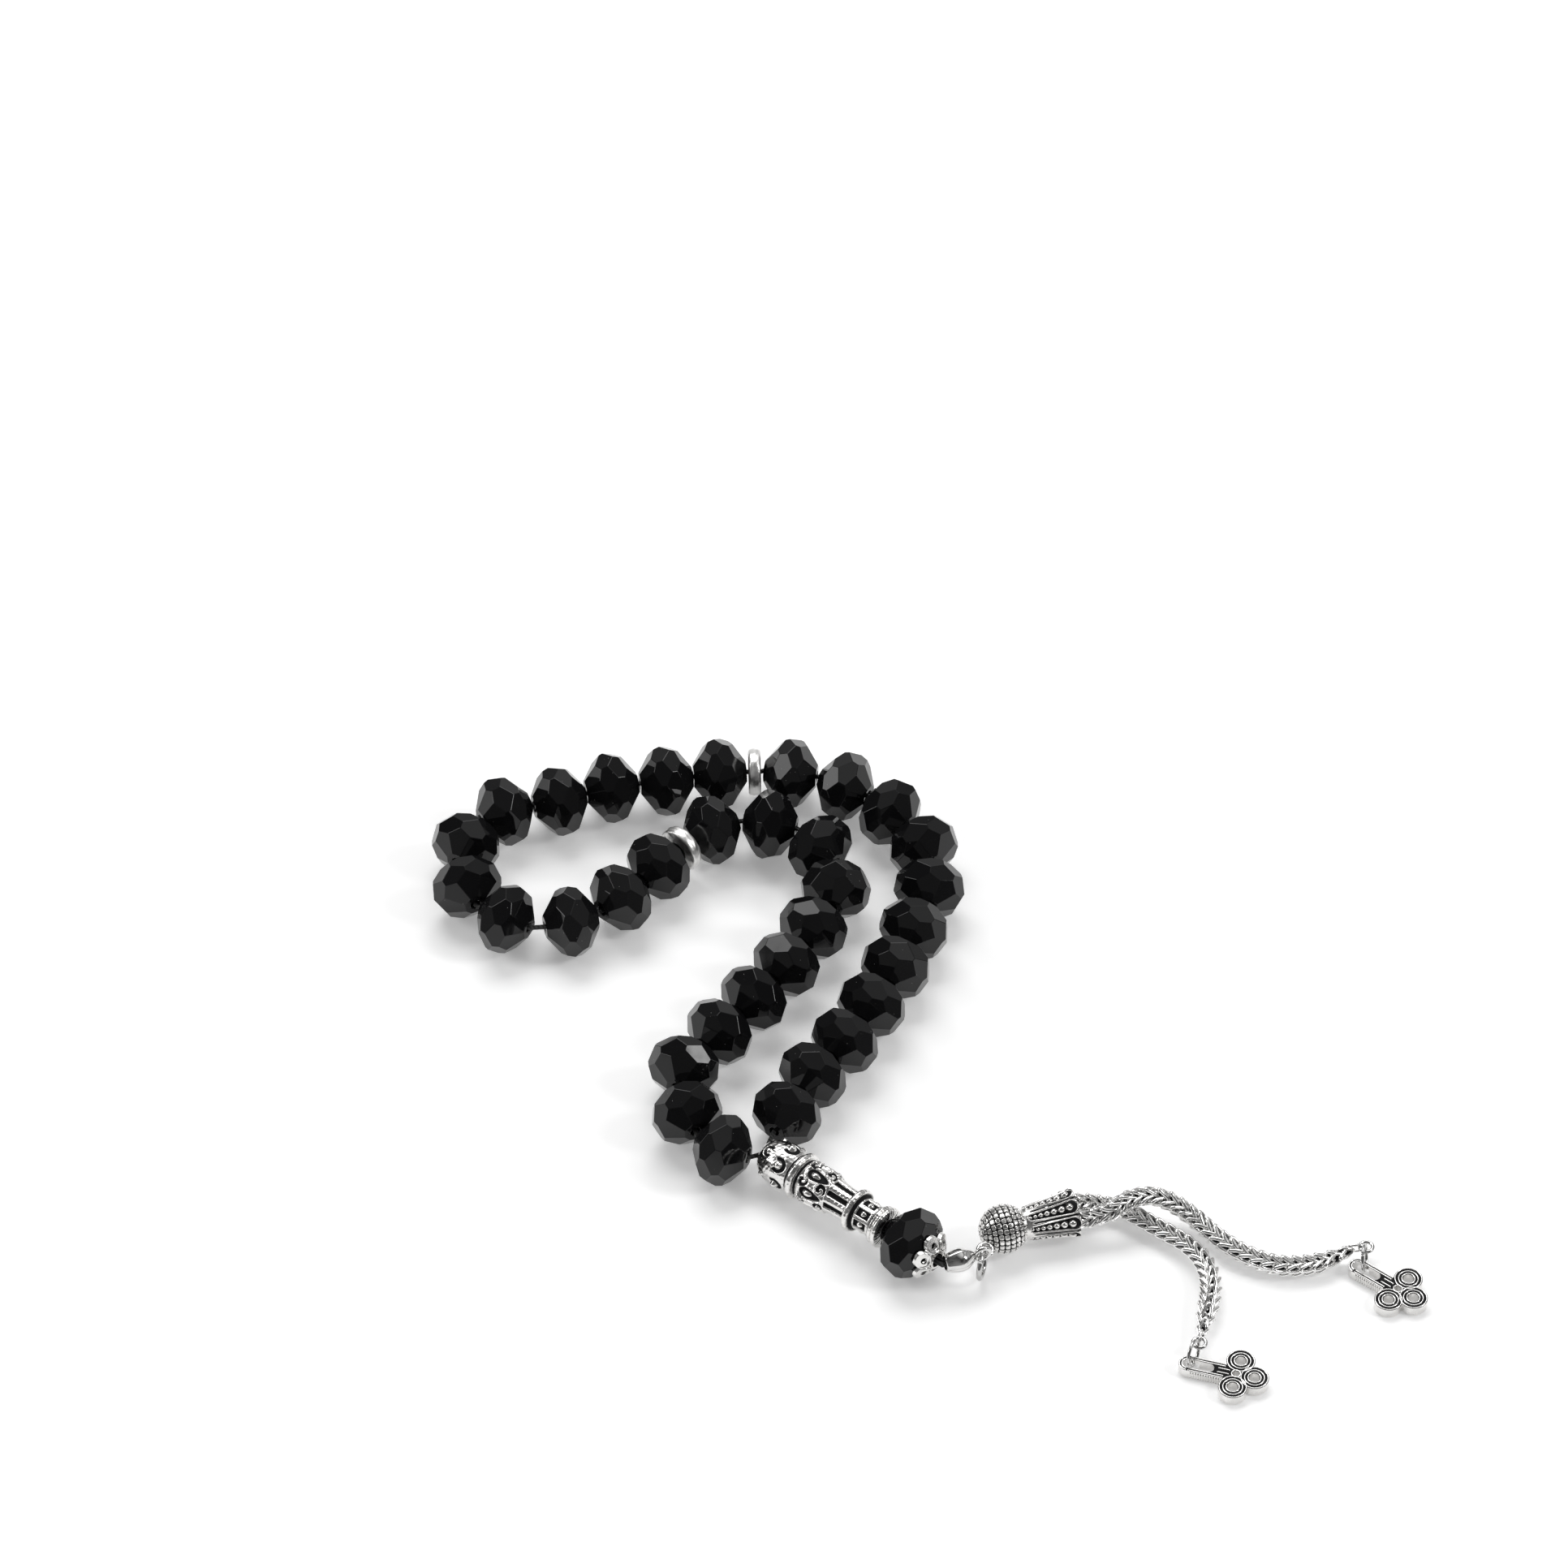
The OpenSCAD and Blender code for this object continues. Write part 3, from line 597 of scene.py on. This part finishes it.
def leader_relief(x, r, a):
    outside = smoothstep(1.5, 1.8, r)
    h = np.zeros_like(x)
    dark = np.zeros_like(x)

    def recess(mask, depth):
        nonlocal h, dark
        h = h - depth * mask
        dark = np.maximum(dark, mask)

    def raised(height):
        nonlocal h, dark
        h = h + height
        lift = smoothstep(0.04, 0.16, height)
        dark = dark * (1 - lift)

    # Dome: two rows of bosses, each half ringed by a black C
    for cx, count, offset, size, open_way in ((1.75, 5, 0.5, 0.95, 1), (4.25, 6, 0.0, 1.25, -1)):
        w = around(a, count, offset) * r
        off = np.sqrt((x - cx) ** 2 + w * w) / size
        side = np.arctan2(w, (x - cx) * open_way)
        ring = (1 - smoothstep(0.16, 0.26, np.abs(off - 0.74))) * smoothstep(0.7, 1.1, np.abs(side))
        recess(ring, 0.26)
        raised(boss(x - cx, w, 0.42 * size, 0.36 * size))
    # Groove beside each collar
    for g, width in ((6.08, 0.2), (7.6, 0.2), (16.35, 0.16), (17.68, 0.16), (20.85, 0.16)):
        recess(np.exp(-((x - g) / width) ** 2), 0.22)
    # Vase: teardrops with oval bosses between raised scrolls
    w6 = around(a, 6, math.pi / 6) * r
    dx = x - 10.1
    drop = np.sqrt((dx / (1.9 + 0.35 * np.tanh(dx))) ** 2 + (w6 / (0.95 - 0.14 * dx)) ** 2)
    in_vase = (x > 7.8) * (x < 12.6)
    recess((1 - smoothstep(0.82, 1.0, drop)) * in_vase, 0.4)
    raised(0.17 * np.exp(-((drop - 1.14) / 0.14) ** 2) * in_vase)
    raised(boss((x - 10.0) / 1.7, w6, 0.5, 0.5) * in_vase)
    v = around(a, 6) * r
    for cx, flip in ((8.7, 1), (11.7, -1)):
        curl = np.sqrt((x - cx) ** 2 + v ** 2)
        swirl = np.sin(5.2 * curl + 1.2 * flip * np.arctan2(v, x - cx))
        field = (1 - smoothstep(0.75, 0.95, curl)) * in_vase
        recess(field * (swirl < 0), 0.2)
        raised(0.16 * field * (swirl > 0.15))
    # Columns
    flute = np.abs(around(a, 8)) * 8 / math.pi
    column = (x > 12.7) * (x < 16.3)
    recess(smoothstep(0.52, 0.7, flute) * smoothstep(12.7, 13.0, x) * (1 - smoothstep(16.0, 16.3, x)), 0.42)
    raised(0.1 * np.cos(flute * math.pi / 1.1) * column * (flute < 0.5))
    # Drum: square windows with a boss in each
    wd = around(a, 8, math.pi / 8) * r
    box = np.maximum(np.abs(x - 19.2) / 1.12, np.abs(wd) / 0.68)
    recess(1 - smoothstep(0.84, 1.0, box), 0.36)
    raised(boss(x - 19.2, wd, 0.5, 0.44))
    # Wear marks on the plain rings
    wear = 0.02 * np.sin(23 * a + 5 * x) * np.sin(9 * a - 4 * x) * (h > -0.05)
    return (h + wear) * outside, dark * outside + 0.8 * (1 - outside)


def arc_profile(x, r, size, count=9):
    """The outside half of a round bead of metal on the profile."""
    return [(x - size * math.cos(math.pi * k / (count - 1)), r + size * math.sin(math.pi * k / (count - 1)))
            for k in range(count)]


LEADER_MIDDLE = 11.3
LEADER = [(1.2, 1.1), (0, 1.55), (0.02, 1.85), (0.5, 2.4), (1.2, 2.85), (2.2, 3.2), (3.4, 3.35), (4.8, 3.25),
          (5.8, 3.0), (6.2, 2.96)] + arc_profile(6.8, 3.0, 0.56) + [
    (7.4, 2.9), (7.8, 2.88), (8.6, 3.0), (9.8, 3.02), (11.4, 2.85), (13, 2.55), (14.2, 2.42), (16, 2.35),
    (16.4, 2.5)] + arc_profile(17, 2.72, 0.56) + [
    (17.6, 2.5), (17.9, 2.42), (19, 2.38), (20.4, 2.4), (20.8, 2.45)] + arc_profile(21.25, 2.6, 0.36) + \
    arc_profile(22.1, 2.7, 0.42) + [(22.6, 2.4), (22.55, 1.4), (22.4, 1.1)]
leader_pos, leader_axis = joint_place("leader_bead_spin")
leader_start = leader_pos - LEADER_MIDDLE * leader_axis
put(lathe("leader_cast", LEADER, 288, leader_relief, axis_matrix(leader_start, leader_axis, 12)),
    "leader_bead", ANTIQUE, "antique_silver", "leader_bead")

# --- Bead cap: the pierced flower, with a raised rim round each hole ---
neck_pos, neck_axis = joint_place("neck_bead_spin")
neck_matrix = axis_matrix(neck_pos, neck_axis)
PETALS = 6
rims = []
for k in range(PETALS):
    a = 2 * math.pi * k / PETALS
    # A petal lies on the cone between the cap's face and its rim
    centre = np.array([3.92, -2.45 * -math.sin(a), -2.45 * math.cos(a)])
    radial = np.array([-0.61, math.sin(a) * 0.79, -math.cos(a) * 0.79])
    across = np.array([0, math.cos(a), math.sin(a)])
    turn = np.linspace(0, 2 * math.pi, 28, endpoint=False)
    for size in (0.62, 1.08):
        rims.append(centre + size * (np.cos(turn)[:, None] * across + np.sin(turn)[:, None] * radial))
put(tubes("bead_cap_rims", rims, 0.17, 8, matrix=neck_matrix), "bead_cap", POLISHED, "antique_silver")


# --- Bead tip: two leaf cups and a folded loop ---
def tip_relief(x, r, a):
    seam = np.exp(-(np.sin(a) * r / 0.1) ** 2) * smoothstep(0.9, 1.2, r)
    ridge = 0.1 * np.exp(-(np.cos(a) * r / 0.35) ** 2) * smoothstep(0.8, 1.4, r)
    return ridge - 0.16 * seam, seam * 0.9


TIP_L, TIP_R = 4.4, 1.7
TIP_MOUTH_R, TIP_END_R = 1.15, 0.5


def cup_r(t):
    end = TIP_MOUTH_R if t < 0.5 else TIP_END_R
    return end + (TIP_R - end) * math.sin(math.pi * t)


TIP_OUT = [(TIP_L * k / 16, cup_r(k / 16)) for k in range(17)]
TIP_IN = [(TIP_L * k / 16 - 0.1, max(cup_r(k / 16) - 0.3, 0.1)) for k in range(15, -1, -1)]
TIP_DIR = Vector((math.cos(math.radians(20)), math.sin(math.radians(20)), 0))
LOOP_AT = 5.5
TIP_START = Vector(JOINTS["link_ring_turn"]["pos_m"]) / MM + Vector((0, 0, 2.1)) - LOOP_AT * TIP_DIR
tip_matrix = axis_matrix(TIP_START, TIP_DIR)
tip_cups = lathe("bead_tip_cups", TIP_OUT + TIP_IN, 72, tip_relief, tip_matrix, 0.14)
put(tip_cups, "string", POLISHED, "antique_silver", "bead_tip")
fold = circle_path(1.05, 44, LOOP_AT, 0)[:, [0, 2, 1]]
tip_loop = tubes("bead_tip_loop", [fold], 0.34, 12, matrix=tip_matrix)
put(tip_loop, "string", POLISHED, "antique_silver")

# --- Tassel cap ---
BALL_R = 3.5
BALL_END = 2.7
MOUTH_X = 10.4
BALL_ROWS = 13
PANELS = 8


def tassel_relief(x, r, a):
    inner = (x > 3.5) & (r < 1.45 + (x - 4) * 0.26)
    # Ball: rows of rounded squares with black grooves between
    polar = np.arccos(np.clip(-x / BALL_R, -1, 1))
    row_step = math.pi / BALL_ROWS
    row = np.round(polar / row_step)
    off_row = np.abs(polar / row_step - row)
    per_row = np.maximum(np.round(2 * BALL_ROWS * np.sin(row * row_step)), 4)
    col = a * per_row / (2 * math.pi)
    off_col = np.abs(col - np.round(col))
    square = (off_row ** 4 + off_col ** 4) ** 0.25
    ball = x < BALL_END
    h = np.where(ball, 0.04 - 0.24 * smoothstep(0.34, 0.47, square), 0)
    dark = np.where(ball, smoothstep(0.39, 0.46, square), 0)
    # Cone: round-ended black panels with a row of growing beads in each
    w = around(a, PANELS, math.pi / PANELS) * r
    half = 0.40 + (x - 3.4) * 0.088
    start, end = 3.7, 9.3
    beyond = np.clip(x - end, 0, 9) + np.clip(start - x, 0, 9)
    away = np.sqrt(w * w + beyond * beyond) / half
    cone = (x >= 2.9) & ~inner
    panel = (1 - smoothstep(0.88, 1.0, away)) * cone
    h -= 0.28 * panel
    dark = np.maximum(dark, panel)
    h += 0.12 * np.exp(-((away - 1.13) / 0.12) ** 2) * cone
    place, size = start - 0.1, 0.28
    while place < end + 0.2:
        b = boss(x - place, w, size, size * 1.1) * cone
        h += b
        dark = dark * (1 - smoothstep(0.02, 0.10, b))
        place += 2 * size + 0.13
        size += 0.05
    # A black groove runs up between neighbouring panels
    gap = np.exp(-((np.abs(around(a, PANELS)) * r) / 0.13) ** 2) * cone * smoothstep(3.4, 4.4, x)
    h -= 0.2 * gap
    dark = np.maximum(dark, gap)
    # Scalloped rim: the lip flares out and runs further over each panel
    lip = smoothstep(MOUTH_X - 1.0, MOUTH_X, x) * (r > 2.9)
    h += np.where(cone, 0.07 * lip * (np.cos(PANELS * (a - math.pi / PANELS)) - 1), 0)
    dark = np.where(inner, 0.8, dark)
    return h, dark


BALL = [(-BALL_R * math.cos(math.pi * k / 36), BALL_R * math.sin(math.pi * k / 36)) for k in range(29)]
CONE = [(x, r) for x, r in BALL if x < BALL_END] + [
    (2.75, 2.25), (2.95, 2.2), (3.4, 2.34), (8.8, 3.06), (9.6, 3.22), (10.1, 3.42), (MOUTH_X - 0.1, 3.5),
    (MOUTH_X, 3.42), (MOUTH_X - 0.05, 3.2), (9.6, 2.92), (7, 2.2), (4.2, 1.42), (4.0, 0.8), (3.95, 0.06)]
cap_matrix = axis_matrix(CAP_POS, CAP_DIR.tolist())
put(lathe("tassel_cap_cast", CONE, 360, tassel_relief, cap_matrix, 0.07),
    "tassel", ANTIQUE, "antique_silver", "tassel_cap")
eye_path = circle_path(1.05, 40, EYE_POS[0], EYE_POS[1], EYE_POS[2])
put(tubes("tassel_eye", [eye_path], 0.35, 12), "tassel", POLISHED, "antique_silver")


# --- Jump rings: wire with a butt joint ---
def jump_ring(name, node, joint, mean_r, wire_r, seam_at):
    pos, axis = joint_place(joint)
    gap = 0.035
    a = np.linspace(seam_at + gap, seam_at + 2 * math.pi - gap, 60)
    x = Vector(axis).normalized()
    y = Vector((0, 0, 1)).cross(x).normalized()
    z = x.cross(y)
    ring = np.array(pos) + mean_r * (np.cos(a)[:, None] * np.array(y) + np.sin(a)[:, None] * np.array(z))
    put(tubes(name, [ring], wire_r, 14, closed=False), node, SHADED_WIRE, "bright_wire", node)


jump_ring("link_ring_wire", "link_ring", "link_ring_turn", 2.1, 0.4, 2.2)
for number in (1, 2):
    jump_ring(f"end_ring_{number}_wire", f"end_ring_{number}", f"end_ring_{number}_turn", 1.8, 0.25, 1.2)


# --- Charms: a pierced palmette with raised ribbons ---
# Where each charm hangs from its ring, and its angle in degrees
HANG = {1: ((85.7, -46.4), -38), 2: ((61.2, -63.6), -16)}
HANG_X, HANG_Y = 1.2, 1.05
CHARM_T = 1.5


def local_to_charm(number):
    (hx, hy), angle = HANG[number]
    m = Matrix.Translation((hx, hy, 0)) @ Matrix.Rotation(math.radians(angle), 4, "Z")
    return m @ Matrix.Translation((-HANG_X, -HANG_Y, 0))


for number in (1, 2):
    node = f"charm_{number}"
    m = local_to_charm(number)
    lines = []
    for cx, cy in ((7.6, 2.4), (7.6, -2.4), (10.1, 0)):
        lines += [circle_path(r, 40, cx, cy, CHARM_T) for r in (1.86, 1.36, 0.9)]
    lines.append(circle_path(0.62, 24, 7.5, 0, CHARM_T))
    put(tubes(f"charm_{number}_ribbons", lines, 0.11, 8, matrix=m), node, POLISHED, "antique_silver")
    rails = []
    for y in (-1.22, -0.86, 0.86, 1.22):
        rails.append(np.array([(x, y, CHARM_T) for x in np.linspace(0.9, 5.9, 30)]))
    for y in (-0.35, 0.35):
        rails.append(np.array([(x, y, CHARM_T) for x in np.linspace(4.9, 6.6, 12)]))
    for r in (1.22, 0.86):
        rails.append(circle_path(r, 24, 0.75, 0, CHARM_T, math.pi / 2, 3 * math.pi / 2, closed=False))
    rail_wires = tubes(f"charm_{number}_rails", rails, 0.13, 8, closed=False, matrix=m, flat=0.8)
    put(rail_wires, node, POLISHED, "antique_silver")
    teeth = []
    for k in range(14):
        x = 1.4 + 0.36 * k
        # There is none on the one side where the slot's rail is cut away for the ring
        for y in (-1.36, 1.36) if x > 2.4 else (-1.36,):
            teeth.append(np.array([(x, y, z) for z in np.linspace(0.25, 1.3, 5)]))
    put(tubes(f"charm_{number}_milling", teeth, 0.1, 6, closed=False, matrix=m), node, ANTIQUE, "antique_silver")

for chain_name, chain_route in CHAIN_ROUTES.items():
    woven_chain(chain_name, chain_route)

# --- Carried-over nodes: softened edges and their own materials ---
for name, material, slot_name in (
        ("cord", CORD, "cord"), ("cord_knot", CORD, "cord"), ("bead_cap", ANTIQUE, "antique_silver"),
        ("chain_pin", SHADED_WIRE, "bright_wire"),
        ("end_link_1", SHADED_WIRE, "bright_wire"), ("end_link_2", SHADED_WIRE, "bright_wire"),
        ("charm_1", CHARM_PLATE, "antique_silver"), ("charm_2", CHARM_PLATE, "antique_silver")):
    node = NODES[name]
    node.data.materials.clear()
    node.data.materials.append(material)
    if name.startswith(("charm", "bead_cap")):
        bevel = node.modifiers.new("softened", "BEVEL")
        bevel.width = 0.14 * MM if name.startswith("charm") else 0.06 * MM
        bevel.segments = 3
        bevel.limit_method = "ANGLE"
        bevel.angle_limit = math.radians(40)

# --- Floor and light ---
FLOOR_HALF = 3000
floor_corners = [(FLOOR_HALF * x, FLOOR_HALF * y, 0) for x, y in ((-1, -1), (1, -1), (1, 1), (-1, 1))]
floor = make_object("floor", floor_corners, [(0, 1, 2, 3)])
floor.location.z = -0.00002
floor_material, floor_nodes, floor_links, floor_shader = new_material("floor")
floor_place = floor_nodes.new("ShaderNodeTexCoord")
floor_noise = add(floor_nodes, "ShaderNodeTexNoise", Scale=3.0, Detail=2.0)
floor_links.new(floor_place.outputs["Object"], floor_noise.inputs["Vector"])
floor_tone = ramp(floor_nodes, floor_links, floor_noise.outputs["Fac"], [(0.0, 0.93), (1.0, 0.95)])
floor_links.new(floor_tone.outputs["Color"], floor_shader.inputs["Base Color"])
floor_shader.inputs["Roughness"].default_value = 0.6
floor_shader.inputs["Specular IOR Level"].default_value = 0.2
floor_shader.inputs["Emission Color"].default_value = (1, 1, 1, 1)
floor_shader.inputs["Emission Strength"].default_value = 0.28
floor.data.materials.append(floor_material)


def area_light(name, power, size, pos, aim=(0.02, 0, 0)):
    data = bpy.data.lights.new(name, "AREA")
    data.energy = power
    data.shape = "RECTANGLE"
    data.size, data.size_y = size
    light = bpy.data.objects.new(name, data)
    light.location = pos
    light.rotation_euler = (Vector(aim) - Vector(pos)).to_track_quat("-Z", "Y").to_euler()
    bpy.context.scene.collection.objects.link(light)


area_light("softbox_top", 9.0, (1.1, 0.7), (-0.2, 0.75, 1.2))
area_light("softbox_left", 5.0, (0.5, 0.8), (-1.25, 0.1, 0.75))
area_light("softbox_right", 5.0, (0.3, 0.5), (1.1, -0.2, 0.9))

world = bpy.data.worlds.new("studio")
world.use_nodes = True
bpy.context.scene.world = world
world_nodes, world_links = world.node_tree.nodes, world.node_tree.links
background = world_nodes["Background"]
world_place = world_nodes.new("ShaderNodeTexCoord")
split = world_nodes.new("ShaderNodeSeparateXYZ")
world_links.new(world_place.outputs["Generated"], split.inputs["Vector"])
# The room is brightest high up behind the object and to its right, and dark behind the camera
level = None
for axis_name, weight in (("X", 0.18), ("Y", 0.30), ("Z", 0.42)):
    step = add(world_nodes, "ShaderNodeMath", operation="MULTIPLY_ADD")
    step.inputs[1].default_value = weight
    step.inputs[2].default_value = 0.22
    world_links.new(split.outputs[axis_name], step.inputs[0])
    if level is not None:
        world_links.new(level.outputs[0], step.inputs[2])
    level = step
sky = ramp(world_nodes, world_links, level.outputs[0],
           [(0.0, 0.25), (0.3, 0.16), (0.48, 0.12), (0.6, 0.5), (0.78, 1.25)])
# Walls, stands and windows make lighter and darker places in it
places = add(world_nodes, "ShaderNodeTexNoise", Scale=2.6, Detail=1.0)
world_links.new(world_place.outputs["Generated"], places.inputs["Vector"])
uneven = ramp(world_nodes, world_links, places.outputs["Fac"], [(0.38, 0.2), (0.5, 0.7), (0.62, 1.0)])
lit = add(world_nodes, "ShaderNodeMix", data_type="RGBA", blend_type="MULTIPLY")
lit.inputs["Factor"].default_value = 1.0
world_links.new(sky.outputs["Color"], lit.inputs["A"])
world_links.new(uneven.outputs["Color"], lit.inputs["B"])
world_links.new(lit.outputs["Result"], background.inputs["Color"])
background.inputs["Strength"].default_value = 1.0
bpy.context.scene.view_settings.view_transform = "Standard"
